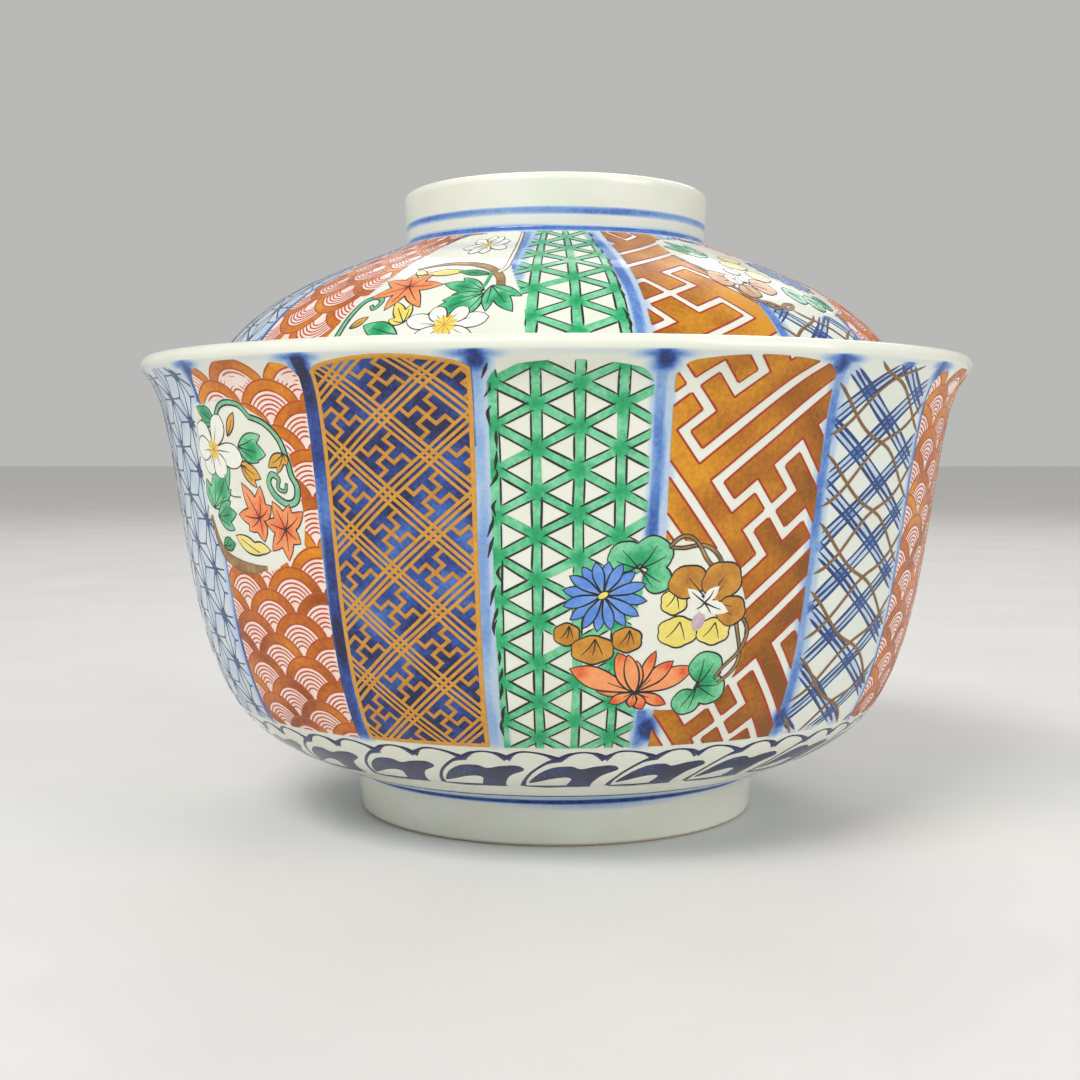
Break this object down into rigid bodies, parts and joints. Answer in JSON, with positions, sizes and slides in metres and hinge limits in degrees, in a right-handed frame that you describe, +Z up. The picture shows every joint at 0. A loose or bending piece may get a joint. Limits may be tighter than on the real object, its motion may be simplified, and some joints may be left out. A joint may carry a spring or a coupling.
{
  "type": "lidded rice bowl",
  "caption": "Round porcelain rice bowl with a flared lip and a foot ring, and a domed lid with a ring knob that rests inside the lip.",
  "frame": {"origin": "centre of the foot ring's base, on the surface that the bowl stands on", "axes": "+Z up along the axis of the bowl and the lid; the side seen in the view from the front faces -Y, and +X is to its right"},
  "size_m": [0.13, 0.13, 0.0977],
  "materials": {
    "bowl_glaze": "gloss",
    "lid_glaze": "gloss"
  },
  "bodies": {
    "bowl": {"bowl": "bowl_glaze"},
    "lid": {"lid": "lid_glaze"}
  },
  "joints": [
    {"name": "lid_lift", "type": "slide", "parent": "bowl", "child": "lid", "axis": [0, 0, 1], "range_m": [0, 0.1]}
  ]
}
